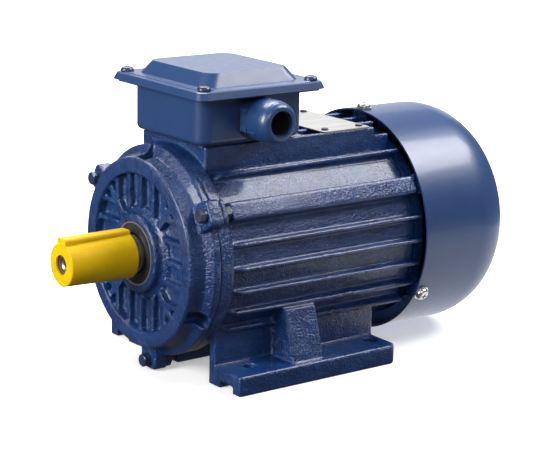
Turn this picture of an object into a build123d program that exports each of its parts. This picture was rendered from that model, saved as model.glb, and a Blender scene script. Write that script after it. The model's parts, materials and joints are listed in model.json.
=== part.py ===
"""Foot-mounted cage induction motor, frame size 80, as an assembly of separate pieces.

Frame of reference: X along the shaft with the drive end at -X, Z up, and the origin in the
base plane at the centre of the four foot holes. Angles round the shaft are measured from the
top towards -Y. All sizes are in millimetres.
"""
from build123d import *
import math
import os

# ---- driving dimensions -------------------------------------------------------------------
AXIS_Z = 80.0            # shaft height above the feet
FOOT_HOLES_X = 100.0     # hole spacing along the shaft
FOOT_HOLES_Y = 125.0     # hole spacing across the shaft
FOOT_HOLE_R = 5.0

FRAME_FRONT = -77.5      # joint face with the drive-end shield
FRAME_REAR = 82.5        # joint face with the fan-end shield
BODY_R = 66.5            # frame wall, outside, between the fins
BORE_R = 60.0            # frame wall, inside
FLANGE_R = 69.2
FLANGE_REAR = -67.7
REGISTER_R = 61.5        # spigot recess at both ends of the frame
REGISTER_DEPTH = 6.5
FIN_TIP_R = 71.8
FIN_WIDTH = 3.0
FIN_TILT = 0.85          # degrees; the fins stand higher towards the fan
FIN_ANGLES = (38.0, 77.5, 90.5, 103.5, 116.5, 129.5)
EAR_ANGLES = (60.0, 180.0, 300.0)
COWL_SCREW_ANGLES = (0.0, 120.0, 240.0)
BOSS_TOP_R = 74.6
BOSS_WIDTH = 12.6
LOWER_BOSS_R = 78.2
EAR_BOLT_R = 73.5        # bolt circle radius at the drive end
FAN_BOLT_R = 67.5        # bolt circle radius at the fan end
EAR_TOP_R = 79.3
EAR_WIDTH = 17.4
LUG_REAR = -73.5

PAD_HALF = 36.5
PAD_TOP = 152.5
PAD_SOLID_END = 12.0
PAD_REAR = 70.0

FOOT_FRONT = -70.0       # foot on the gland side; the other foot starts further back
FAR_FOOT_FRONT = -66.0
FOOT_REAR = 60.0
FOOT_IN = 45.6
FOOT_OUT = 80.5
FOOT_TOP = 12.9

SHIELD_FACE = -96.3
SHIELD_RING_R = 62.3
SHIELD_RING_IN = 52.0
SHIELD_RIM_R = 69.4
SHIELD_FLOOR = -89.0
SHIELD_BACK = -84.0      # inner face of the shield's wall
RIB_FRONT = -93.6
RIB_PITCH = 14.0
RIB_WIDTH = 3.8
DIAGONAL_RIB_WIDTH = 5.0
HUB_R = 30.0
HUB_NOSE_R = 25.6
HUB_NOSE = -98.5

SHAFT_END = -150.0
SHAFT_SHOULDER = -100.0
SHAFT_R = 11.0
SEAT_R = 12.5            # bearing seats
CORE_SEAT_R = 15.0       # rotor core seat
FAN_SEAT_R = 9.5
SHAFT_REAR = 134.0
CENTRE_THREAD_R = 3.4    # tapped M8
KEY = (6.0, 6.0, 40.0)   # width, height, length
KEY_FRONT = -147.0
KEY_TOP_R = 13.5

BOLT_R = 2.5             # M5 shield bolts
BOLT_FLATS = 8.0
BOLT_HOLE_R = 2.8
WASHER_R = 4.4

BEARING_OUT_R = 26.0
BEARING_WIDTH = 15.0
BALL_R = 3.97
BALL_PITCH_R = 19.25
BALLS = 9
DRIVE_BEARING = -91.0    # front face of the drive-end bearing
FAN_BEARING = 82.5       # front face of the fan-end bearing

CORE_HALF = 37.5         # half length of the stator and rotor cores
STATOR_BORE_R = 33.6
ROTOR_R = 33.2
SLOTS = 24
BARS = 22

COWL_FRONT = 84.9
COWL_R = 77.6
COWL_CYLINDER_END = 135.0
COWL_REAR = 171.0
COWL_FLAT_R = 45.6
SHEET = 1.3
COWL_SCREW_X = 90.0

BOX = (-74.5, 7.5)       # terminal box along X
BOX_HALF = 40.0
BOX_BOTTOM = 153.7
BOX_WALL = 3.0
BOX_TOP = 186.5
LID = (-83.5, 16.5)      # lower edge of the lid along X
LID_HALF = 53.0
LID_FLARE = 1.6          # the lid's edge is this much wider at the bottom
LID_PLATE = (187.7, 190.0)
LID_LEDGE = 0.9          # raised ledge round the hat
LID_TOP = 199.1
HAT_BASE = (78.0, 82.0)
HAT_CROWN = (64.0, 71.0)
LID_SCREW_X = (-75.2, 8.2)
LID_SCREW_Y = 44.5
BOX_SCREW_X = (-65.5, -1.5)
BOX_SCREW_Y = 29.0
PASSAGE = (-60.0, -40.0) # opening for the leads, along X
PASSAGE_HALF = 14.0
GLAND_X = -32.5
GLAND_Z = 169.5
GLAND_HOLE_R = 7.8
GLAND_THREAD_R = 10.0    # M20
GLAND_BORE_R = 8.6
BLOCK_X = (-39.0, -3.0)  # terminal block along X
STUD_X = (-29.0, -13.0)
STUD_Y = (-16.0, 0.0, 16.0)
BLOCK_MIDDLE = -21.0
LUG_REACH = 10.0         # from the eye of a lug to the end of its barrel
LEAD_R = 1.2

PLATE = (26.5, 66.0)     # name plate along X
PLATE_HALF = 36.4
PLATE_RIVET_X = (32.0, 61.0)
PLATE_RIVET_Y = 30.5
RIVET_R = 1.2

SEAL_FRONT = -98.2       # shaft oil seal 25 x 42 in the hub
SEAL_REAR = -91.4
CAP_FRONT = -152.0       # transport cap on the shaft end
CAP_REAR = -104.0
CAP_BORE_R = 11.15
CAP_HOLE_R = 6.4

parts = {}


# ---- shape helpers ------------------------------------------------------------------------
def block(x0, x1, y0, y1, z0, z1):
    """Box between two corners."""
    size = Box(abs(x1 - x0), abs(y1 - y0), abs(z1 - z0))
    return Pos((x0 + x1) / 2, (y0 + y1) / 2, (z0 + z1) / 2) * size


def along(axis, shape, middle, u, v):
    """Lay a shape made along Z on another axis, at the two other coordinates u and v."""
    if axis == "x":
        return Pos(middle, u, v) * Rot(0, 90, 0) * shape
    if axis == "y":
        return Pos(u, middle, v) * Rot(90, 0, 0) * shape
    return Pos(u, v, middle) * shape


def rod(axis, radius, a, b, u=0.0, v=AXIS_Z):
    """Round bar from a to b along an axis."""
    return along(axis, Cylinder(radius, abs(b - a)), (a + b) / 2, u, v)


def ring(axis, outer, inner, a, b, u=0.0, v=AXIS_Z):
    """Round tube from a to b along an axis."""
    shape = Cylinder(outer, abs(b - a)) - Cylinder(inner, abs(b - a) + 2)
    return along(axis, shape, (a + b) / 2, u, v)


def hexagon(axis, flats, a, b, u=0.0, v=AXIS_Z, turn=0.0):
    """Hexagonal bar from a to b along an axis."""
    outline = RegularPolygon(flats / 2, 6, major_radius=False, rotation=turn)
    shape = extrude(outline, abs(b - a) / 2, both=True)
    return along(axis, shape, (a + b) / 2, u, v)


def around(shape, angle):
    """Turn a shape about the shaft, from the top towards -Y."""
    return Pos(0, 0, AXIS_Z) * Rot(angle, 0, 0) * Pos(0, 0, -AXIS_Z) * shape


def ring_of(shape, angles):
    """Copies of a shape at several angles about the shaft."""
    return [around(shape, angle) for angle in angles]


def spread(count, start=0.0):
    """Evenly spaced angles."""
    return [start + 360.0 * i / count for i in range(count)]


def turned(points):
    """Solid of revolution about the shaft from (x, radius) points."""
    outline = Plane.XZ * Polyline(*points, close=True)
    return Pos(0, 0, AXIS_Z) * revolve(make_face(outline), Axis.X)


def prism(points, x0, x1):
    """Extrude a (y, z) outline from x0 to x1."""
    outline = Plane.YZ * Polyline(*points, close=True)
    return Pos(x0, 0, 0) * extrude(make_face(outline), x1 - x0, dir=(1, 0, 0))


def rounded_block(x0, x1, half, z0, z1, radius):
    """Upright block, centred on y = 0, with rounded vertical corners."""
    outline = RectangleRounded(x1 - x0, 2 * half, radius)
    return Pos((x0 + x1) / 2, 0, z0) * extrude(outline, z1 - z0)


def soften(shape, radius, test):
    """Fillet the edges whose centre passes a test."""
    edges = [edge for edge in shape.edges() if test(edge.center(), edge)]
    return fillet(edges, radius)


def round_rim(shape, x, rim_r, radius):
    """Fillet the circular edge of a turned part at one x and radius."""
    def on_rim(_, edge):
        if edge.geom_type != GeomType.CIRCLE:
            return False
        return abs(edge.radius - rim_r) < 0.01 and abs(edge.arc_center.X - x) < 0.01
    return soften(shape, radius, on_rim)


def group(shapes):
    """Several separate solids kept in one node."""
    solids = [solid for shape in shapes for solid in shape.solids()]
    return Compound(children=solids)


# ---- frame --------------------------------------------------------------------------------
def fin(width=FIN_WIDTH, tip=FIN_TIP_R):
    """Cooling fin at the top of the frame, with a rounded tip."""
    root = BODY_R - 3.0
    centre_z = AXIS_Z + tip - width / 2
    blade = block(-67.6, 85, -width / 2, width / 2, AXIS_Z + root, centre_z)
    blade = blade + rod("x", width / 2, -67.6, 85, 0, centre_z)
    middle = Pos(0, 0, AXIS_Z + tip)
    return middle * Rot(0, -FIN_TILT, 0) * Pos(0, 0, -AXIS_Z - tip) * blade


def boss(top_r, rear):
    """Long boss on the outside of the frame, at the top, with rounded long edges."""
    half = BOSS_WIDTH / 2
    shape = block(-67.5, rear, -half, half, AXIS_Z + BORE_R + 1, AXIS_Z + top_r)
    return soften(shape, 1.8, lambda c, edge: c.Z > AXIS_Z + top_r - 0.1 and edge.length > 20)


def ear(x0, x1, top_r, width):
    """Bolt ear at the top, with rounded outer corners."""
    half = width / 2
    top = AXIS_Z + top_r
    shape = block(x0, x1, -half, half, AXIS_Z + BORE_R + 2.5, top)
    return soften(shape, 3.0, lambda c, _: abs(c.Y) > half - 0.1 and c.Z > top - 0.1)


def foot(front):
    """Foot on the +Y side: plate with a channel below, inner web and a middle gusset."""
    plate = block(front, FOOT_REAR, FOOT_IN, FOOT_OUT, 0, FOOT_TOP)
    plate = soften(plate, 7.0, lambda c, _: abs(c.X - FOOT_REAR) < 0.1 and c.Y > FOOT_OUT - 0.1)
    plate = soften(plate, 1.5, lambda c, _: c.Z > FOOT_TOP - 0.1 and c.Y > FOOT_IN + 5)
    channel = block(front - 1, FOOT_REAR + 1, 58, 72, -1, 4.6)
    web = prism([(FOOT_IN, 5), (52.5, 5), (52.5, 40.8), (FOOT_IN, 34.5)], front, FOOT_REAR)
    gusset = prism([(50, 10), (77, 10), (76.3, 13.5), (66.5, 46.5), (58, 49), (50, 40)], -25, 0)
    gusset = soften(gusset, 1.5, lambda c, edge: c.Y > 66.5 and edge.length > 20)
    return plate - channel + web + gusset


def pad():
    """Top pad: solid under the terminal box, open ribs towards the fan."""
    base = AXIS_Z + 48
    shapes = [block(FLANGE_REAR - 0.3, PAD_SOLID_END, -PAD_HALF, PAD_HALF, base, PAD_TOP)]
    for side in (-1, 1):
        sides = (side * (PAD_HALF - 3.5), side * PAD_HALF)
        shapes.append(block(PAD_SOLID_END - 1, PAD_REAR, *sides, base, PAD_TOP))
        shapes.append(block(PAD_REAR - 1, FRAME_REAR, *sides, base, PAD_TOP - 5.5))
    for y in (-17.5, 0, 17.5):
        rib = block(PAD_SOLID_END - 1, FRAME_REAR + 1.5, y - 1.6, y + 1.6, AXIS_Z + 62.5, PAD_TOP)
        shapes.append(rib)
    for x in PLATE_RIVET_X:
        for side in (-1, 1):
            shapes.append(rod("z", 4.2, AXIS_Z + 50, PAD_TOP, x, side * PLATE_RIVET_Y))
    return shapes


def make_frame():
    wall = rod("x", BODY_R, FRAME_FRONT, FRAME_REAR)
    flange = rod("x", FLANGE_R, FRAME_FRONT, FLANGE_REAR)
    flange = round_rim(flange, FLANGE_REAR, FLANGE_R, 0.8)
    envelope = turned([(-67.7, 50), (-67.7, 66.6), (-58.5, 72), (-50, 80), (90, 80), (90, 50)])
    fins = []
    for angle in FIN_ANGLES:
        fins += ring_of(fin(), (angle, -angle))
    ribs = (Part() + fins) & envelope
    bosses = [around(boss(BOSS_TOP_R, 84), a) for a in (60, 300)]
    bosses.append(around(boss(LOWER_BOSS_R, 80), 180))
    lugs = ring_of(ear(FRAME_FRONT, LUG_REAR, EAR_TOP_R - 0.6, EAR_WIDTH - 1.2), EAR_ANGLES)
    feet = [foot(FAR_FOOT_FRONT), mirror(foot(FOOT_FRONT), Plane.XZ)]
    frame = wall + flange + ribs + bosses + lugs + pad() + feet
    cuts = [rod("x", BORE_R, FRAME_FRONT - 1, FRAME_REAR + 4)]
    cuts.append(rod("x", REGISTER_R, FRAME_FRONT - 1, FRAME_FRONT + REGISTER_DEPTH))
    cuts.append(rod("x", REGISTER_R, FRAME_REAR - REGISTER_DEPTH, FRAME_REAR + 4))
    cuts.append(rod("x", FLANGE_R + 0.2, FRAME_REAR, FRAME_REAR + 4))
    ear_hole = rod("x", BOLT_HOLE_R, FRAME_FRONT - 1, LUG_REAR + 1, 0, AXIS_Z + EAR_BOLT_R)
    tapped_hole = rod("x", BOLT_R, 66, 90, 0, AXIS_Z + FAN_BOLT_R)
    cuts += ring_of(ear_hole, EAR_ANGLES) + ring_of(tapped_hole, EAR_ANGLES)
    cuts.append(block(*PASSAGE, -PASSAGE_HALF, PASSAGE_HALF, 120, 160))
    for side in (-1, 1):
        for x in (-FOOT_HOLES_X / 2, FOOT_HOLES_X / 2):
            cuts.append(rod("z", FOOT_HOLE_R, -1, 20, x, side * FOOT_HOLES_Y / 2))
        for x in BOX_SCREW_X:
            cuts.append(rod("z", 2.5, PAD_TOP - 12, PAD_TOP + 1, x, side * BOX_SCREW_Y))
        for x in PLATE_RIVET_X:
            cuts.append(rod("z", RIVET_R, PAD_TOP - 6, PAD_TOP + 1, x, side * PLATE_RIVET_Y))
    return frame - cuts


parts["frame"] = make_frame()


# ---- end shields --------------------------------------------------------------------------
def shield_ribs():
    """Parallel ribs in four quadrants and a diagonal rib between each pair of quadrants."""
    half = RIB_WIDTH / 2
    ribs = []
    for i in (-2, -1, 0, 1, 2):
        y = i * RIB_PITCH
        start = AXIS_Z + max(abs(y), 24)
        ribs.append(block(RIB_FRONT, SHIELD_FLOOR + 0.5, y - half, y + half, start, AXIS_Z + 54))
    quadrant = Part() + ribs
    half = DIAGONAL_RIB_WIDTH / 2
    diagonal = block(RIB_FRONT, SHIELD_FLOOR + 0.5, -half, half, AXIS_Z + 24, AXIS_Z + 54)
    every = ring_of(quadrant, (0, 90, 180, 270)) + ring_of(diagonal, (45, 135, 225, 315))
    annulus = ring("x", SHIELD_RING_IN + 1, HUB_R, RIB_FRONT, SHIELD_FLOOR + 0.5)
    return (Part() + every) & annulus


def make_drive_shield():
    seat_end = DRIVE_BEARING + BEARING_WIDTH + 1.5
    body = turned([
        (HUB_NOSE, 21.0), (HUB_NOSE, HUB_NOSE_R), (-93.6, HUB_NOSE_R + 0.7), (-91.2, HUB_R),
        (SHIELD_FLOOR, HUB_R + 0.8), (SHIELD_FLOOR, SHIELD_RING_IN),
        (SHIELD_FACE, SHIELD_RING_IN), (SHIELD_FACE, SHIELD_RING_R), (-92.5, 62.6),
        (-86.2, 63.8), (-82.3, SHIELD_RIM_R), (FRAME_FRONT, SHIELD_RIM_R),
        (FRAME_FRONT, REGISTER_R - 0.05), (FRAME_FRONT + 6, REGISTER_R - 0.05),
        (FRAME_FRONT + 6, 57.5), (SHIELD_BACK, 57.5), (SHIELD_BACK, HUB_R + 1),
        (seat_end, HUB_R + 1), (seat_end, BEARING_OUT_R), (DRIVE_BEARING, BEARING_OUT_R),
        (DRIVE_BEARING, 21.0)])
    body = round_rim(body, SHIELD_FACE, SHIELD_RING_R, 2.2)
    body = round_rim(body, SHIELD_FACE, SHIELD_RING_IN, 1.0)
    body = round_rim(body, HUB_NOSE, HUB_NOSE_R, 1.4)
    ears = ring_of(ear(-87.0, FRAME_FRONT, EAR_TOP_R, EAR_WIDTH), EAR_ANGLES)
    ear_hole = rod("x", BOLT_HOLE_R, -90, FRAME_FRONT + 1, 0, AXIS_Z + EAR_BOLT_R)
    pry_slot = block(-93.5, -79.5, -5.2, 5.2, AXIS_Z + 58.5, AXIS_Z + 70)
    cuts = ring_of(ear_hole, EAR_ANGLES) + ring_of(pry_slot, (0, 120, 240))
    return body + shield_ribs() + ears - cuts


def make_fan_shield():
    seat_end = FAN_BEARING + BEARING_WIDTH + 3.0
    body = turned([
        (FRAME_REAR - 6, 57.5), (FRAME_REAR - 6, REGISTER_R - 0.05),
        (FRAME_REAR, REGISTER_R - 0.05), (FRAME_REAR, 67.5), (90, 67.5),
        (90, HUB_R + 2), (seat_end + 4, HUB_R), (seat_end + 4, 13.5), (seat_end, 13.5),
        (seat_end, BEARING_OUT_R), (81, BEARING_OUT_R), (81, HUB_R + 1), (86.5, HUB_R + 1),
        (86.5, 57.5)])
    bolt_ear = block(FRAME_REAR + 2.6, 90, -7, 7, AXIS_Z + 62, AXIS_Z + 74)
    cowl_ear = block(86.5, 97, -7, 7, AXIS_Z + 60, AXIS_Z + 75.9)
    body = body + ring_of(bolt_ear, EAR_ANGLES) + ring_of(cowl_ear, COWL_SCREW_ANGLES)
    bolt_hole = rod("x", BOLT_HOLE_R, 80, 92, 0, AXIS_Z + FAN_BOLT_R)
    cowl_hole = rod("z", 2.5, AXIS_Z + 64, AXIS_Z + 80, COWL_SCREW_X, 0)
    return body - ring_of(bolt_hole, EAR_ANGLES) - ring_of(cowl_hole, COWL_SCREW_ANGLES)


parts["drive_end_shield"] = make_drive_shield()
parts["fan_end_shield"] = make_fan_shield()


# ---- fasteners ----------------------------------------------------------------------------
def hex_bolt(head, end, v):
    """Hexagon bolt along X at height v, from the outer face of its head to the shank's tip."""
    thickness = math.copysign(3.6, end - head)
    trim = rod("x", BOLT_FLATS * 0.56, head, head + thickness, 0, v)
    rim = [edge for edge in trim.edges() if abs(edge.center().X - head) < 0.01]
    top = hexagon("x", BOLT_FLATS, head, head + thickness, 0, v) & chamfer(rim, 0.8)
    return top + rod("x", BOLT_R, head + thickness * 0.9, end, 0, v)


def pan_screw(radius, head_r, top, bottom, tip, x, y):
    """Pan-head screw along -Z: head from top to bottom, shank down to tip, cross recess."""
    head = rod("z", head_r, bottom, top, x, y)
    rim = [e for e in head.edges() if abs(e.center().Z - top) < 0.01]
    head = fillet(rim, (top - bottom) * 0.85)
    recess = block(x - 0.5, x + 0.5, y - 2.2, y + 2.2, top - 1.4, top + 1)
    recess = recess + block(x - 2.2, x + 2.2, y - 0.5, y + 0.5, top - 1.4, top + 1)
    return head + rod("z", radius, tip, bottom + 0.2, x, y) - recess


ear_z = AXIS_Z + EAR_BOLT_R
ear_nut = hexagon("x", BOLT_FLATS, LUG_REAR, LUG_REAR + 4, 0, ear_z, turn=30)
ear_nut = ear_nut - rod("x", BOLT_R, LUG_REAR - 1, LUG_REAR + 6, 0, ear_z)
ear_washer = ring("x", WASHER_R, BOLT_R + 0.05, -88.4, -87.0, 0, ear_z)
parts["drive_end_bolts"] = group(ring_of(hex_bolt(-92.0, -67.8, ear_z), EAR_ANGLES))
parts["drive_end_spring_washers"] = group(ring_of(ear_washer, EAR_ANGLES))
parts["drive_end_nuts"] = group(ring_of(ear_nut, EAR_ANGLES))

fan_z = AXIS_Z + FAN_BOLT_R
fan_washer = ring("x", WASHER_R, BOLT_R + 0.05, 90.0, 91.4, 0, fan_z)
parts["fan_end_bolts"] = group(ring_of(hex_bolt(95.0, 70, fan_z), EAR_ANGLES))
parts["fan_end_spring_washers"] = group(ring_of(fan_washer, EAR_ANGLES))


# ---- stator -------------------------------------------------------------------------------
def sector_bar(r0, w0, r1, w1, half_length):
    """Bar along X at the top with a trapezium section."""
    inner = [(-w0 / 2, AXIS_Z + r0), (w0 / 2, AXIS_Z + r0)]
    outer = [(w1 / 2, AXIS_Z + r1), (-w1 / 2, AXIS_Z + r1)]
    return prism(inner + outer, -half_length, half_length)


def end_turns(side):
    """Bundle of end turns, a ring at one end of the stator core."""
    section = [(62, 40), (62, 49), (58, 53), (45, 53), (41, 49), (41, 36.5), (58, 36.5)]
    return turned([(side * x, radius) for x, radius in section])


slot_angles = spread(SLOTS)
slot_mouth = block(-CORE_HALF - 1, CORE_HALF + 1, -1.1, 1.1, AXIS_Z + 30, AXIS_Z + 37)
slot = sector_bar(35.5, 4.8, 48.0, 8.0, CORE_HALF + 1) + slot_mouth
core = ring("x", BORE_R, STATOR_BORE_R, -CORE_HALF, CORE_HALF)
parts["stator_core"] = core - ring_of(slot, slot_angles)

coil = sector_bar(37.0, 4.6, 47.7, 7.4, 46.0)
parts["stator_winding"] = end_turns(-1) + end_turns(1) + ring_of(coil, slot_angles)
wedge = sector_bar(35.7, 4.6, 36.7, 4.8, CORE_HALF + 1.5)
parts["slot_wedges"] = group(ring_of(wedge, slot_angles))


# ---- rotor --------------------------------------------------------------------------------
def make_shaft():
    """Stepped shaft with a tapped centre, a keyway at each end and a circlip groove."""
    seat_end = DRIVE_BEARING + BEARING_WIDTH
    shaft = turned([
        (SHAFT_END, 0), (SHAFT_END, SHAFT_R - 1), (SHAFT_END + 1, SHAFT_R),
        (SHAFT_SHOULDER, SHAFT_R), (SHAFT_SHOULDER, SEAT_R - 0.4),
        (SHAFT_SHOULDER + 0.4, SEAT_R), (seat_end, SEAT_R), (seat_end, CORE_SEAT_R),
        (FAN_BEARING, CORE_SEAT_R), (FAN_BEARING, SEAT_R), (108, SEAT_R), (108, FAN_SEAT_R),
        (131, FAN_SEAT_R), (131, 8.8), (132.1, 8.8), (132.1, FAN_SEAT_R),
        (SHAFT_REAR - 1, FAN_SEAT_R), (SHAFT_REAR, FAN_SEAT_R - 1), (SHAFT_REAR, 0)])
    key_floor = AXIS_Z + KEY_TOP_R - KEY[1]
    keyway = key_shape(KEY[0], KEY[2], KEY_FRONT, key_floor, AXIS_Z + 20)
    thread = rod("x", CENTRE_THREAD_R, SHAFT_END - 1, SHAFT_END + 19)
    mouth = turned([
        (SHAFT_END - 1, 0), (SHAFT_END - 1, 4.6), (SHAFT_END + 1, 4.6),
        (SHAFT_END + 2.2, CENTRE_THREAD_R), (SHAFT_END + 2.2, 0)])
    fan_keyway = block(112, 126, -2, 2, AXIS_Z + 7.5, AXIS_Z + 20)
    return shaft - [keyway, thread, mouth, fan_keyway]


def key_shape(width, length, front, z0, z1):
    """Parallel key with round ends, lying along X."""
    outline = SlotOverall(length, width)
    return Pos(front + length / 2, 0, z0) * extrude(outline, z1 - z0)


parts["shaft"] = make_shaft()
key_top = AXIS_Z + KEY_TOP_R
parts["shaft_key"] = key_shape(KEY[0], KEY[2], KEY_FRONT, key_top - KEY[1], key_top)
parts["fan_key"] = block(112, 126, -2, 2, AXIS_Z + 7.5, AXIS_Z + 11)

bar = rod("x", 2.6, -CORE_HALF, CORE_HALF, 0, AXIS_Z + 28.5)
laminations = ring("x", ROTOR_R, CORE_SEAT_R, -CORE_HALF, CORE_HALF)
parts["rotor_core"] = laminations - ring_of(bar, spread(BARS))
end_rings = [ring("x", 32.4, 19.5, s * CORE_HALF, s * (CORE_HALF + 9)) for s in (-1, 1)]
vane = block(CORE_HALF + 8, CORE_HALF + 15, -1.2, 1.2, AXIS_Z + 22, AXIS_Z + 31.5)
vanes = ring_of(vane, spread(11)) + ring_of(mirror(vane, Plane.YZ), spread(11))
parts["rotor_cage"] = Part() + end_rings + ring_of(bar, spread(BARS)) + vanes


# ---- bearings and seals -------------------------------------------------------------------
def bearing(name, front):
    """Sealed deep-groove ball bearing 25 x 52 x 15, as five nodes."""
    middle = front + BEARING_WIDTH / 2
    rear = front + BEARING_WIDTH
    race = Pos(middle, 0, AXIS_Z) * Rot(0, 90, 0) * Torus(BALL_PITCH_R, BALL_R + 0.08)
    parts[name + "_outer_ring"] = ring("x", BEARING_OUT_R, 22.6, front, rear) - race
    parts[name + "_inner_ring"] = ring("x", 15.9, SEAT_R, front, rear) - race
    ball_angles = spread(BALLS)
    ball = Pos(middle, 0, AXIS_Z + BALL_PITCH_R) * Sphere(BALL_R)
    parts[name + "_balls"] = group(ring_of(ball, ball_angles))
    pocket = Pos(middle, 0, AXIS_Z + BALL_PITCH_R) * Sphere(BALL_R + 0.15)
    cage = ring("x", 20.9, 17.6, middle - 5.2, middle + 5.2)
    parts[name + "_cage"] = cage - ring_of(pocket, ball_angles)
    seals = [ring("x", 22.6, 16.0, a, a + 0.9) for a in (front + 0.5, rear - 1.4)]
    parts[name + "_seals"] = group(seals)


bearing("drive_bearing", DRIVE_BEARING)
bearing("fan_bearing", FAN_BEARING)


def make_wave_spring(x0, x1, thickness=0.5):
    """Ring of thin sheet bent into waves, between the bearing and the hub shoulder."""
    swing = (x1 - x0 - thickness) / 2 - 0.05
    crests = [((x0 + x1) / 2 + swing * (-1) ** i, AXIS_Z + 9.0 * (i - 3)) for i in range(7)]
    near = [(x - thickness / 2, z) for x, z in crests]
    far = [(x + thickness / 2, z) for x, z in crests]
    edges = Spline(*near) + Line(near[-1], far[-1]) + Spline(*far) + Line(far[0], near[0])
    sheet = extrude(make_face(Plane.XZ * edges), 30, both=True)
    return sheet & ring("x", 25.6, 22.2, x0, x1)


spring_front = FAN_BEARING + BEARING_WIDTH
parts["wave_spring"] = make_wave_spring(spring_front, spring_front + 3.0)

parts["drive_seal_case"] = turned([
    (SEAL_FRONT, 21.0), (SEAL_REAR, 21.0), (SEAL_REAR, 15.0), (SEAL_REAR - 0.8, 15.0),
    (SEAL_REAR - 0.8, 20.0), (SEAL_FRONT, 20.0)])
parts["drive_seal_lip"] = turned([
    (SEAL_FRONT + 1.0, 20.0), (SEAL_REAR - 0.8, 20.0), (SEAL_REAR - 0.8, 16.5),
    (SEAL_FRONT + 3.4, 16.5), (SEAL_FRONT + 3.4, 14.6), (SEAL_FRONT + 2.2, 12.55),
    (SEAL_FRONT + 1.4, 12.55), (SEAL_FRONT + 0.4, 13.6), (SEAL_FRONT + 1.0, 15.2)])
garter = Rot(0, 90, 0) * Torus(15.7, 0.7)
parts["drive_seal_spring"] = Pos(SEAL_FRONT + 4.2, 0, AXIS_Z) * garter
parts["fan_v_ring"] = turned([
    (105.6, SEAT_R), (107.6, SEAT_R), (107.6, 16.5), (106.6, 16.5), (106.0, 19.5),
    (105.3, 19.3), (105.6, 15.0)])


# ---- fan and cowl -------------------------------------------------------------------------
def make_fan(blades=8):
    """Radial fan: hub, coned back plate and straight blades on its open side."""
    hub = turned([(108, FAN_SEAT_R), (108, 16), (128, 14.5), (128, FAN_SEAT_R)])
    plate = turned([(110, 12), (110, 40), (114, 60), (116.2, 60), (112.2, 40), (112.2, 12)])
    blade = block(110.5, 137, -1.1, 1.1, AXIS_Z + 14, AXIS_Z + 60)
    swept = turned([(111, 13), (111, 40), (115, 60), (137, 60), (137, 42), (127, 13)])
    keyway = block(107, 126, -2, 2, AXIS_Z + 5, AXIS_Z + 11)
    return hub + plate + [b & swept for b in ring_of(blade, spread(blades, 22.5))] - keyway


parts["cooling_fan"] = make_fan()
circlip = ring("x", 12.0, 8.8, 131.0, 132.0)
parts["fan_circlip"] = circlip - block(130, 133, -2.2, 2.2, AXIS_Z, AXIS_Z + 14)


def cowl_solid(inset):
    """Filled body of the cowl, made smaller by an inset on every side but the open one."""
    outer = COWL_R - inset
    rear = COWL_REAR - inset
    centre = (COWL_CYLINDER_END, COWL_FLAT_R)
    radii = (rear - COWL_CYLINDER_END, outer - COWL_FLAT_R)
    corner = EllipticalCenterArc(centre, *radii, start_angle=0, arc_size=90)
    sides = Polyline((rear, COWL_FLAT_R), (rear, 0), (COWL_FRONT, 0), (COWL_FRONT, outer),
                     (COWL_CYLINDER_END, outer))
    outline = make_face(Plane.XZ * (corner + sides))
    return Pos(0, 0, AXIS_Z) * revolve(outline, Axis.X)


def make_cowl():
    """Sheet cowl with an air grille of ring slots in its flat rear face."""
    shell = cowl_solid(0) - cowl_solid(SHEET)
    slots = [ring("x", r + 2.6, r - 2.6, 165, 175) for r in (12, 20, 28, 36)]
    bridges = ring_of(block(160, 176, -2, 2, AXIS_Z, AXIS_Z + 45), spread(6, 30))
    holes = ring_of(rod("z", 2.7, AXIS_Z + 70, AXIS_Z + 80, COWL_SCREW_X, 0), COWL_SCREW_ANGLES)
    return shell - (Part() + slots - bridges) - holes


parts["fan_cowl"] = make_cowl()
cowl_top = AXIS_Z + COWL_R
washer = ring("z", 5.4, 2.6, cowl_top, cowl_top + 1.0, COWL_SCREW_X, 0)
washer = washer - rod("x", COWL_R, 80, 100)
parts["cowl_screw_washers"] = group(ring_of(washer, COWL_SCREW_ANGLES))
cowl_screw = pan_screw(2.5, 4.6, cowl_top + 4.3, cowl_top + 1.0, AXIS_Z + 66, COWL_SCREW_X, 0)
parts["cowl_screws"] = group(ring_of(cowl_screw, COWL_SCREW_ANGLES))


# ---- terminal box -------------------------------------------------------------------------
def inside_box(z0, z1):
    """Space between the walls of the terminal box."""
    return rounded_block(BOX[0] + BOX_WALL, BOX[1] - BOX_WALL, BOX_HALF - BOX_WALL, z0, z1, 3.5)


def make_box():
    shell = rounded_block(*BOX, BOX_HALF, BOX_BOTTOM, BOX_TOP, 9)
    shell = soften(shell, 3.6, lambda c, _: c.Z < BOX_BOTTOM + 0.1)
    rim = rounded_block(LID[0] + 2.8, LID[1] - 2.8, LID_HALF - 2.8, BOX_TOP - 2.2, BOX_TOP, 5)
    cuts = [inside_box(BOX_BOTTOM + 3, BOX_TOP + 1)]
    cuts.append(block(*PASSAGE, -PASSAGE_HALF, PASSAGE_HALF, 150, 160))
    gland_hole = (-BOX_HALF - 1, -BOX_HALF + BOX_WALL + 1, GLAND_X, GLAND_Z)
    cuts.append(rod("y", GLAND_THREAD_R + 0.2, *gland_hole))
    for side in (-1, 1):
        cuts += [rod("z", 2.7, 150, 160, x, side * BOX_SCREW_Y) for x in BOX_SCREW_X]
        cuts += [rod("z", 2.55, 180, 190, x, side * LID_SCREW_Y) for x in LID_SCREW_X]
        cuts.append(rod("z", 1.6, BOX_BOTTOM + 0.8, 160, BLOCK_MIDDLE, side * 19.0))
    cuts.append(rod("z", 2.1, BOX_BOTTOM + 0.8, 160, -65, 0))
    return shell + rim - cuts


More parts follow.
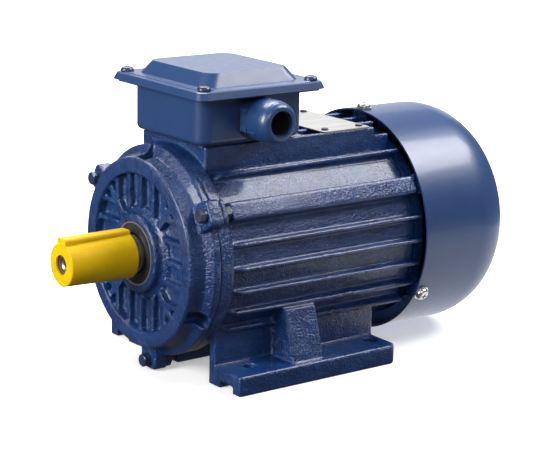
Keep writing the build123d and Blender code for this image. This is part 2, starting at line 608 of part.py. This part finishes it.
def make_box_gasket():
    sheet = rounded_block(BOX[0] + 5, BOX[1] - 5, 35, PAD_TOP, BOX_BOTTOM, 6)
    cuts = [block(*PASSAGE, -PASSAGE_HALF, PASSAGE_HALF, 150, 160)]
    for side in (-1, 1):
        cuts += [rod("z", 2.7, 150, 160, x, side * BOX_SCREW_Y) for x in BOX_SCREW_X]
    return sheet - cuts


def tapered_block(low, low_size, high, high_size, radius):
    """Block with rounded corners over the box's middle, between two heights and sizes."""
    middle = (BOX[0] + BOX[1]) / 2
    base = Pos(middle, 0, low) * RectangleRounded(*low_size, radius)
    crown = Pos(middle, 0, high) * RectangleRounded(*high_size, radius)
    return loft([base, crown])


def lid_hat(inset):
    """Raised middle of the lid, made smaller by an inset."""
    base = [size - 2 * inset for size in HAT_BASE]
    crown = [size - 2 * inset for size in HAT_CROWN]
    low = LID_PLATE[1] - 0.5 - inset * 2
    return tapered_block(low, base, LID_TOP - inset, crown, 9)


def make_lid():
    bottom, top = LID_PLATE
    ledge_top = top + LID_LEDGE
    length = LID[1] - LID[0]
    width = 2 * LID_HALF
    edge = [length - 2 * LID_FLARE, width - 2 * LID_FLARE]
    plate = tapered_block(bottom - 1.9, [length, width], top, edge, 6.5)
    plate = plate + tapered_block(top, edge, top + 0.5, [edge[0] - 1.4, edge[1] - 1.4], 6)
    ledge = tapered_block(top, [length - 8, width - 8], ledge_top, [length - 10, width - 10], 8)
    under = rounded_block(LID[0] + 2.4, LID[1] - 2.4, LID_HALF - 2.4, bottom - 3, bottom, 5)
    cuts = [under, lid_hat(1.8)]
    for side in (-1, 1):
        cuts += [rod("z", 2.7, 180, 195, x, side * LID_SCREW_Y) for x in LID_SCREW_X]
    return plate + ledge + lid_hat(0) - cuts


def make_lid_gasket():
    outer = rounded_block(LID[0] + 4, LID[1] - 4, LID_HALF - 4, BOX_TOP, LID_PLATE[0], 5)
    holes = [rod("z", 2.7, 180, 190, x, s * LID_SCREW_Y) for x in LID_SCREW_X for s in (-1, 1)]
    return outer - inside_box(180, 190) - holes


parts["terminal_box"] = make_box()
parts["box_gasket"] = make_box_gasket()
parts["terminal_box_lid"] = make_lid()
parts["lid_gasket"] = make_lid_gasket()
lid_screws = []
box_screws = []
lid_top = LID_PLATE[1] + LID_LEDGE
for side in (-1, 1):
    for x in LID_SCREW_X:
        y = side * LID_SCREW_Y
        lid_screws.append(pan_screw(2.5, 4.4, lid_top + 2.8, lid_top, BOX_TOP - 2, x, y))
    for x in BOX_SCREW_X:
        y = side * BOX_SCREW_Y
        box_screws.append(pan_screw(2.5, 4.4, 159.7, 156.7, PAD_TOP - 10, x, y))
parts["lid_screws"] = group(lid_screws)
parts["box_screws"] = group(box_screws)
parts["earth_screw"] = pan_screw(2.0, 4.0, 160.4, 157.6, BOX_BOTTOM + 1.2, -65, 0)
parts["earth_washer"] = ring("z", 4.4, 2.1, 156.7, 157.6, -65, 0)


# ---- terminal block -----------------------------------------------------------------------
stud_places = [(x, y) for x in STUD_X for y in STUD_Y]
seat = BOX_BOTTOM + 11


def make_terminal_block():
    """Moulded board with a raised seat under each stud and barriers between the phases."""
    floor = BOX_BOTTOM + 3
    board = rounded_block(*BLOCK_X, 25, floor, floor + 5, 3)
    seats = [rod("z", 4.6, floor, seat, x, y) for x, y in stud_places]
    barriers = [block(*BLOCK_X, y - 0.9, y + 0.9, floor + 4, seat + 2) for y in (-8, 8)]
    cuts = [rod("z", 2.0, floor + 2, seat + 4, x, y) for x, y in stud_places]
    cuts += [rod("z", 1.7, floor - 1, seat + 4, BLOCK_MIDDLE, s * 19.0) for s in (-1, 1)]
    cuts.append(block(STUD_X[0] - 4.2, STUD_X[0] + 4.2, -12, 12, seat, seat + 4))
    return board + seats + barriers - cuts


def lug(x, y):
    """Ring lug of sheet, its crimped barrel pointing off the near long side of the block."""
    side = 1 if x > BLOCK_MIDDLE else -1
    eye = ring("z", 3.8, 2.05, seat, seat + 0.8, x, y)
    neck = block(x + side * 3.2, x + side * 6.5, y - 1.6, y + 1.6, seat, seat + 0.8)
    ends = (x + side * 5.5, x + side * LUG_REACH)
    barrel = ring("x", 1.9, LEAD_R + 0.05, *ends, y, seat + 1.9)
    return eye + neck + barrel


def link(x, y, z):
    """Flat link between a stud and the next one in its column."""
    outline = SlotCenterToCenter(16.0, 7.6)
    strip = Pos(x, y + 8, z) * Rot(0, 0, 90) * extrude(outline, 0.9)
    return strip - [rod("z", 2.1, z - 1, z + 2, x, y), rod("z", 2.1, z - 1, z + 2, x, y + 16)]


def lead(x, y):
    """Lead from the winding up through the passage to its lug."""
    level = seat + 1.9
    if x < BLOCK_MIDDLE:
        points = [(-50, 0.65 * y, 131), (-50, 0.65 * y, 157), (-45, y, level), (x - 6.8, y, level)]
    else:
        lane = 1.375 * y if y else -8.0
        over = seat + 7.3
        points = [(-56, 0.56 * y, 131), (-56, 0.56 * y, over), (-45, lane, over), (1.2, lane, over),
                  (1.2, y, level), (x + 6.8, y, level)]
    path = FilletPolyline(*points, radius=1.8)
    return sweep(Plane(path @ 0, z_dir=path % 0) * Circle(LEAD_R), path)


parts["terminal_block"] = make_terminal_block()
parts["terminal_studs"] = group([rod("z", 2.0, seat - 6, seat + 13, x, y) for x, y in stud_places])
parts["lead_lugs"] = group([lug(x, y) for x, y in stud_places])
link_z = seat + 0.8
parts["shorting_links"] = group([
    link(STUD_X[0], -16, link_z), link(STUD_X[0], 0, link_z + 0.9)])
nut_washers = []
nuts = []
for x, y in stud_places:
    links_below = 0
    if x == STUD_X[0]:
        links_below = 1 if y == STUD_Y[0] else 2
    low = link_z + 0.9 * links_below
    nut_washers.append(ring("z", 4.2, 2.1, low, low + 0.8, x, y))
    nuts.append(hexagon("z", 7, low + 0.8, low + 4.0, x, y) - rod("z", 2.0, low, low + 6, x, y))
parts["terminal_washers"] = group(nut_washers)
parts["terminal_nuts"] = group(nuts)
block_screw_z = (BOX_BOTTOM + 10.4, BOX_BOTTOM + 8, BOX_BOTTOM + 1.2)
parts["block_screws"] = group([
    pan_screw(1.6, 2.9, *block_screw_z, BLOCK_MIDDLE, s * 19.0) for s in (-1, 1)])
parts["motor_leads"] = group([lead(x, y) for x, y in stud_places])


# ---- cable gland --------------------------------------------------------------------------
outside = -BOX_HALF


def gland_turned(points):
    """Solid of revolution about the gland's axis from (distance out of the wall, radius)."""
    outline = Plane.XZ * Polyline(*[(radius, distance) for distance, radius in points], close=True)
    body = revolve(make_face(outline), Axis.Z)
    return Pos(GLAND_X, outside, GLAND_Z) * Rot(90, 0, 0) * body


def gland_bar(maker, size, near, far, **turn):
    """Round or hexagonal bar on the gland's axis, from its two distances out of the wall."""
    return maker("y", size, outside - near, outside - far, GLAND_X, GLAND_Z, **turn)


body_neck = gland_turned([
    (-11, GLAND_BORE_R), (-11, GLAND_THREAD_R), (1.5, GLAND_THREAD_R), (1.5, 13), (16, 13),
    (16, 11.6), (8, 9.4), (8, GLAND_BORE_R)])
body_hex = gland_bar(hexagon, 25.4, 1.2, 8, turn=30) - gland_bar(rod, GLAND_BORE_R, 0, 9)
parts["gland_body"] = body_hex + body_neck
rounding = [math.radians(angle) for angle in range(0, 91, 15)]
dome = gland_turned(
    [(9, 13.1), (9, 14.0)]
    + [(20.5 + 8.1 * math.sin(angle), 9.6 + 4.4 * math.cos(angle)) for angle in rounding]
    + [(28.6, 8.4), (26, 8.4), (22, 12.2), (17, 13.1)])
grip = gland_bar(hexagon, 25.4, 9, 17, turn=30) - gland_bar(rod, 13.1, 8, 18)
parts["gland_nut"] = dome + grip
parts["gland_seal"] = gland_turned([
    (9, GLAND_HOLE_R), (9, 9.3), (16.2, 11.5), (22, 12.0), (25.6, 8.6), (25.6, GLAND_HOLE_R)])
parts["gland_washer"] = gland_bar(rod, 14.6, 0, 1.2) - gland_bar(rod, GLAND_THREAD_R + 0.2, -1, 2)
locknut = gland_bar(hexagon, 24, -BOX_WALL, -BOX_WALL - 4)
parts["gland_locknut"] = locknut - gland_bar(rod, GLAND_THREAD_R, -BOX_WALL + 1, -BOX_WALL - 5)


# ---- name plate and shaft cap -------------------------------------------------------------
plate = rounded_block(*PLATE, PLATE_HALF, PAD_TOP, PAD_TOP + 0.8, 2)
rivet_places = [(x, s * PLATE_RIVET_Y) for x in PLATE_RIVET_X for s in (-1, 1)]
parts["name_plate"] = plate - [rod("z", RIVET_R + 0.1, 150, 160, x, y) for x, y in rivet_places]
rivets = []
for x, y in rivet_places:
    head = rod("z", 2.4, PAD_TOP + 0.8, PAD_TOP + 2.2, x, y)
    head = fillet([e for e in head.edges() if e.center().Z > PAD_TOP + 2.1], 1.0)
    rivets.append(head + rod("z", RIVET_R, PAD_TOP - 5.5, PAD_TOP + 1, x, y))
parts["name_plate_rivets"] = group(rivets)


def make_cap():
    """Thin push-on sleeve for the shaft end, with a raised ridge over the key."""
    inside = CAP_FRONT + 1.3
    sleeve = turned([
        (CAP_FRONT, CAP_HOLE_R), (CAP_FRONT, 13.4), (CAP_FRONT + 0.6, 14.0), (CAP_REAR, 15.4),
        (CAP_REAR, CAP_BORE_R), (inside, CAP_BORE_R), (inside, CAP_HOLE_R)])
    ridge = block(CAP_FRONT + 0.4, CAP_REAR, -5, 5, AXIS_Z + 11.3, AXIS_Z + 17.2)
    ridge = soften(ridge, 2.2, lambda c, edge: c.Z > AXIS_Z + 17 and edge.length > 20)
    channel = block(inside, CAP_REAR + 1, -3.2, 3.2, AXIS_Z + 5, AXIS_Z + KEY_TOP_R + 0.2)
    return sleeve + ridge - channel - rod("x", CAP_BORE_R, inside, CAP_REAR + 1)


parts["shaft_cap"] = make_cap()

os.makedirs("parts", exist_ok=True)
for name, shape in parts.items():
    export_step(shape, f"parts/{name}.step")
print(len(parts), "nodes written")
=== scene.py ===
"""Looks of the foot-mounted electric motor: materials, soft cast edges, light, floor and camera."""

import json
import math

import bpy
from mathutils import Matrix, Vector


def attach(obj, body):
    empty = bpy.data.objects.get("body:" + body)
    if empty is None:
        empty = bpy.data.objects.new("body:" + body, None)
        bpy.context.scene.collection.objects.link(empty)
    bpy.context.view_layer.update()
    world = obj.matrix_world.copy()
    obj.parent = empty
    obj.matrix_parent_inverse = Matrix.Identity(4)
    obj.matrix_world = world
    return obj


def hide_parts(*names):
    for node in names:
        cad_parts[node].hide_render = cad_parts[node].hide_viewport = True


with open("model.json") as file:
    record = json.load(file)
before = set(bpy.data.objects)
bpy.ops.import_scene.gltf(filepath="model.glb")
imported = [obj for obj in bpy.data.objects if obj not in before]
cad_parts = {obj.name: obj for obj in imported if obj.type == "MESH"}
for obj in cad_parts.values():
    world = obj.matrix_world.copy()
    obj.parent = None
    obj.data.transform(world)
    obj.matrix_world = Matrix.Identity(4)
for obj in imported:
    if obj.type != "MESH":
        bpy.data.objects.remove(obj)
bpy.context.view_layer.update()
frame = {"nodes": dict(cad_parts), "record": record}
nodes = frame["nodes"]

MM = 0.001
LENS = 118.9                     # mm, on a 36 mm wide sensor
CAMERA_AT = (-0.7053, -0.9596, 0.3801)
CAMERA_AZIMUTH = math.radians(-36.9)
CAMERA_ELEVATION = math.radians(13.86)
CAMERA_ROLL = math.radians(1.19)

FLOOR_SIZE = 8.0                 # metres
FLOOR_DROP = 0.3 * MM            # gap that keeps the feet from flickering through the floor
WORLD_STRENGTH = 0.12
NEAR_GLOW = 0.4                  # the floor glows faintly near the object, so a soft shadow shows,
FAR_GLOW = 1.0                   # and more in the distance, where the lights don't reach

CAST_VOXEL = 0.8 * MM
CAST_SMOOTHING = 3
CAST_KEPT = 0.3                  # share of the triangles kept after remeshing

NAVY = (0.003, 0.020, 0.090, 1)
NAVY_LIGHT = (0.008, 0.042, 0.160, 1)
SATIN_BLUE = (0.013, 0.042, 0.130, 1)
SATIN_LIGHT = (0.017, 0.048, 0.144, 1)


# ---- material helpers ---------------------------------------------------------------------
def new_material(name):
    """Material with a Principled shader: (material, node tree, shader)."""
    material = bpy.data.materials.new(name)
    material.use_nodes = True
    tree = material.node_tree
    return material, tree, tree.nodes["Principled BSDF"]


def position(tree):
    """Place on the object in metres, the same in every view."""
    return tree.nodes.new("ShaderNodeTexCoord").outputs["Object"]


def noise(tree, scale, detail=3.0, roughness=0.5, stretch=(1, 1, 1)):
    """Noise over the object, scale in grains per metre."""
    mapping = tree.nodes.new("ShaderNodeMapping")
    mapping.inputs["Scale"].default_value = stretch
    tree.links.new(position(tree), mapping.inputs["Vector"])
    texture = tree.nodes.new("ShaderNodeTexNoise")
    texture.inputs["Scale"].default_value = scale
    texture.inputs["Detail"].default_value = detail
    texture.inputs["Roughness"].default_value = roughness
    tree.links.new(mapping.outputs["Vector"], texture.inputs["Vector"])
    return texture.outputs["Fac"]


def ramp(tree, value, stops):
    """Colour ramp through (position, colour) stops."""
    node = tree.nodes.new("ShaderNodeValToRGB")
    elements = node.color_ramp.elements
    while len(elements) < len(stops):
        elements.new(0.5)
    for element, (place, colour) in zip(elements, stops):
        element.position = place
        element.color = colour
    tree.links.new(value, node.inputs["Fac"])
    return node.outputs["Color"]


def grey(level):
    return (level, level, level, 1)


def bump(tree, height, distance, under=None):
    """Bump by a height map, distance in metres, on top of another bump."""
    node = tree.nodes.new("ShaderNodeBump")
    node.inputs["Strength"].default_value = 1.0
    node.inputs["Distance"].default_value = distance
    tree.links.new(height, node.inputs["Height"])
    if under is not None:
        tree.links.new(under, node.inputs["Normal"])
    return node.outputs["Normal"]


def painted(name, dark, light, roughness, grain, grain_height, coat):
    """Paint with slightly uneven colour and gloss over a grainy or wavy ground."""
    material, tree, shader = new_material(name)
    patches = noise(tree, 60, 4, 0.6)
    tree.links.new(ramp(tree, patches, [(0.3, dark), (0.72, light)]), shader.inputs["Base Color"])
    low, high = roughness
    gloss = noise(tree, 220, 3)
    tree.links.new(ramp(tree, gloss, [(0.3, grey(low)), (0.7, grey(high))]), shader.inputs["Roughness"])
    fine = bump(tree, noise(tree, grain, 2), grain_height)
    wavy = bump(tree, noise(tree, grain / 6, 2), grain_height * 1.2, under=fine)
    tree.links.new(wavy, shader.inputs["Normal"])
    shader.inputs["Coat Weight"].default_value = coat
    shader.inputs["Coat Roughness"].default_value = 0.12
    return material


def metal(name, dark, light, roughness, stretch=(1, 1, 1), scale=300, dents=0.00004):
    """Bare metal whose tool marks run along the axis with the smallest stretch."""
    material, tree, shader = new_material(name)
    marks = noise(tree, scale, 4, 0.6, stretch)
    tree.links.new(ramp(tree, marks, [(0.3, dark), (0.7, light)]), shader.inputs["Base Color"])
    low, high = roughness
    tree.links.new(ramp(tree, marks, [(0.3, grey(high)), (0.7, grey(low))]), shader.inputs["Roughness"])
    tree.links.new(bump(tree, marks, dents), shader.inputs["Normal"])
    shader.inputs["Metallic"].default_value = 1.0
    return material


def plastic(name, dark, light, roughness, scale=150, grain=0.00003, coat=0.0, milky=0.0):
    """Moulded plastic or rubber with faint mottling and a fine grain; milky plastic lets light in."""
    material, tree, shader = new_material(name)
    mottle = noise(tree, scale, 4, 0.55)
    tree.links.new(ramp(tree, mottle, [(0.3, dark), (0.7, light)]), shader.inputs["Base Color"])
    low, high = roughness
    tree.links.new(ramp(tree, mottle, [(0.3, grey(low)), (0.7, grey(high))]), shader.inputs["Roughness"])
    tree.links.new(bump(tree, noise(tree, scale * 8, 2), grain), shader.inputs["Normal"])
    shader.inputs["Coat Weight"].default_value = coat
    shader.inputs["Specular IOR Level"].default_value = 0.5 * (1 - milky)
    shader.inputs["Subsurface Weight"].default_value = milky
    shader.inputs["Subsurface Scale"].default_value = 5 * MM
    return material


# ---- materials ----------------------------------------------------------------------------
def make_materials():
    """One material for each material slot of the record."""
    return {
        "hammered_blue_paint": painted("cast_paint", NAVY, NAVY_LIGHT, (0.12, 0.22), 800, 0.0010, 0.35),
        "smooth_blue_paint": painted("sheet_paint", SATIN_BLUE, SATIN_LIGHT, (0.34, 0.4),
                                     1500, 0.00002, 0.2),
        "zinc_steel": metal("zinc_steel", (0.42, 0.43, 0.44, 1), (0.72, 0.72, 0.7, 1), (0.22, 0.4)),
        "dark_steel": painted("bolt_paint", (0.008, 0.018, 0.06, 1), (0.02, 0.035, 0.09, 1), (0.28, 0.4),
                              1200, 0.00008, 0.3),
        "bearing_steel": metal("bearing_steel", (0.5, 0.5, 0.52, 1), (0.75, 0.75, 0.76, 1), (0.12, 0.25)),
        "shaft_steel": metal("shaft_steel", (0.25, 0.25, 0.26, 1), (0.42, 0.42, 0.42, 1), (0.35, 0.5),
                             (1, 0.05, 0.05)),
        "core_steel": metal("core_steel", (0.12, 0.12, 0.13, 1), (0.24, 0.24, 0.25, 1), (0.4, 0.6),
                            (1, 0.02, 0.02), 1400),
        "cast_aluminium": metal("cast_aluminium", (0.5, 0.5, 0.52, 1), (0.7, 0.7, 0.71, 1), (0.35, 0.55)),
        "plate_aluminium": metal("plate_aluminium", (0.34, 0.34, 0.34, 1), (0.46, 0.46, 0.45, 1),
                                 (0.35, 0.5), (0.04, 1, 1)),
        "enamelled_copper": plastic("enamelled_copper", (0.2, 0.05, 0.015, 1), (0.5, 0.18, 0.06, 1),
                                    (0.2, 0.4), 400, 0.0003, 0.4),
        "slot_liner": plastic("slot_liner", (0.6, 0.5, 0.3, 1), (0.75, 0.68, 0.5, 1), (0.6, 0.75)),
        "brass": metal("brass", (0.5, 0.33, 0.1, 1), (0.78, 0.58, 0.25, 1), (0.25, 0.4)),
        "block_moulding": plastic("block_moulding", (0.03, 0.02, 0.016, 1), (0.07, 0.05, 0.04, 1),
                                  (0.35, 0.5)),
        "lead_sleeve": plastic("lead_sleeve", (0.4, 0.03, 0.02, 1), (0.55, 0.06, 0.04, 1), (0.3, 0.4)),
        "black_rubber": plastic("black_rubber", (0.008, 0.008, 0.009, 1), (0.022, 0.022, 0.024, 1),
                                (0.5, 0.65)),
        "seal_steel": metal("seal_steel", (0.4, 0.4, 0.42, 1), (0.55, 0.55, 0.57, 1), (0.4, 0.55),
                            (0.05, 1, 1)),
        "fan_plastic": plastic("fan_plastic", (0.012, 0.012, 0.014, 1), (0.03, 0.03, 0.034, 1), (0.4, 0.55)),
        "yellow_plastic": plastic("yellow_plastic", (0.70, 0.45, 0.0, 1), (0.76, 0.50, 0.0, 1),
                                  (0.45, 0.55), 90, 0.00002, milky=0.6),
    }


materials = make_materials()
slot_of = {row["node"]: row["material_slot"] for row in frame["record"]["subparts"]}


def dress(obj, material):
    """Give an object a single material."""
    obj.data.materials.clear()
    obj.data.materials.append(material)


for name, obj in nodes.items():
    for material_slot in obj.material_slots:
        material_slot.material = materials[slot_of[name]]


# ---- cast pieces --------------------------------------------------------------------------
def mesh_box(mesh):
    """Lowest and highest corner of a mesh."""
    corners = [vertex.co for vertex in mesh.vertices]
    low = [min(corner[axis] for corner in corners) for axis in range(3)]
    high = [max(corner[axis] for corner in corners) for axis in range(3)]
    return low, high


def cast_copy(name):
    """Copy of a CAD node with the soft edges and filled corners of a painted casting."""
    source = nodes[name]
    mesh = source.data.copy()
    copy = bpy.data.objects.new(name + "_cast", mesh)
    bpy.context.scene.collection.objects.link(copy)
    remesh = copy.modifiers.new("remesh", "REMESH")
    remesh.mode = "VOXEL"
    remesh.voxel_size = CAST_VOXEL
    remesh.use_smooth_shade = True
    smooth = copy.modifiers.new("smooth", "SMOOTH")
    smooth.factor = 0.5
    smooth.iterations = CAST_SMOOTHING
    thin = copy.modifiers.new("thin", "DECIMATE")
    thin.ratio = CAST_KEPT
    graph = bpy.context.evaluated_depsgraph_get()
    shaped = bpy.data.meshes.new_from_object(copy.evaluated_get(graph))
    low, high = mesh_box(mesh)
    for vertex in shaped.vertices:
        vertex.co = [min(max(at, least), most) for at, least, most in zip(vertex.co, low, high)]
    copy.modifiers.clear()
    copy.data = shaped
    bpy.data.meshes.remove(mesh)
    shaped.shade_smooth()
    dress(copy, materials[slot_of[name]])
    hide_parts(name)
    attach(copy, "stator")
    return copy


for cast_name in ("frame", "drive_end_shield"):
    cast_copy(cast_name)


# ---- floor, light, camera -----------------------------------------------------------------
def make_floor():
    """Pale floor that doesn't light the object or show in its reflections."""
    bpy.ops.mesh.primitive_plane_add(size=FLOOR_SIZE, location=(0, 0, -FLOOR_DROP))
    floor = bpy.context.object
    floor.name = "floor"
    material, tree, shader = new_material("floor")
    shade = ramp(tree, noise(tree, 3, 2), [(0.3, grey(0.88)), (0.7, grey(0.90))])
    tree.links.new(shade, shader.inputs["Base Color"])
    distance = tree.nodes.new("ShaderNodeVectorMath")
    distance.operation = "LENGTH"
    tree.links.new(position(tree), distance.inputs[0])
    glow = ramp(tree, distance.outputs["Value"], [(0.3, grey(NEAR_GLOW)), (1.0, grey(FAR_GLOW))])
    tree.links.new(glow, shader.inputs["Emission Color"])
    shader.inputs["Emission Strength"].default_value = 1.0
    shader.inputs["Roughness"].default_value = 0.6
    dress(floor, material)
    floor.visible_diffuse = False
    floor.visible_glossy = False


def area_light(name, place, target, size, power):
    """Soft rectangular light at a place, aimed at a target and hidden from the camera."""
    data = bpy.data.lights.new(name, "AREA")
    data.shape = "RECTANGLE"
    data.size, data.size_y = size
    data.energy = power
    light = bpy.data.objects.new(name, data)
    bpy.context.scene.collection.objects.link(light)
    light.location = place
    light.rotation_euler = (Vector(target) - Vector(place)).to_track_quat("-Z", "Y").to_euler()
    light.visible_camera = False


def make_lights():
    """Softboxes above, behind and at the sides, and one lying on the floor by the cowl."""
    middle = (0.0, 0.0, 0.09)
    area_light("key", (0.85, -0.45, 1.15), middle, (0.9, 0.6), 26)
    area_light("top", (0.2, 0.6, 1.2), middle, (1.0, 0.6), 22)
    area_light("back", (1.1, 1.4, 0.55), middle, (1.4, 0.9), 4.5)
    area_light("left", (-1.4, 0.0, 0.6), middle, (0.7, 0.7), 28)
    area_light("front", (-0.6, -1.4, 0.9), middle, (0.5, 0.5), 5)
    area_light("low", (0.3, -0.2, 0.002), (0.3, -0.2, 1), (0.42, 0.6), 1.0)
    world = bpy.data.worlds.new("studio")
    world.use_nodes = True
    world.node_tree.nodes["Background"].inputs["Color"].default_value = (1, 1, 1, 1)
    world.node_tree.nodes["Background"].inputs["Strength"].default_value = WORLD_STRENGTH
    bpy.context.scene.world = world


def make_camera():
    """Camera at the picture's place: azimuth from -Y, elevation and a slight roll."""
    back = Vector((math.sin(CAMERA_AZIMUTH) * math.cos(CAMERA_ELEVATION),
                   -math.cos(CAMERA_AZIMUTH) * math.cos(CAMERA_ELEVATION),
                   math.sin(CAMERA_ELEVATION)))
    right = Vector((math.cos(CAMERA_AZIMUTH), math.sin(CAMERA_AZIMUTH), 0))
    up = back.cross(right)
    tilted_right = right * math.cos(CAMERA_ROLL) + up * math.sin(CAMERA_ROLL)
    tilted_up = up * math.cos(CAMERA_ROLL) - right * math.sin(CAMERA_ROLL)
    data = bpy.data.cameras.new("camera")
    data.lens = LENS
    data.sensor_width = 36
    camera = bpy.data.objects.new("camera", data)
    bpy.context.scene.collection.objects.link(camera)
    rotation = Matrix((tilted_right, tilted_up, back)).transposed()
    camera.matrix_world = Matrix.Translation(CAMERA_AT) @ rotation.to_4x4()
    bpy.context.scene.camera = camera


make_floor()
make_lights()
make_camera()
bpy.context.scene.view_settings.view_transform = "Standard"
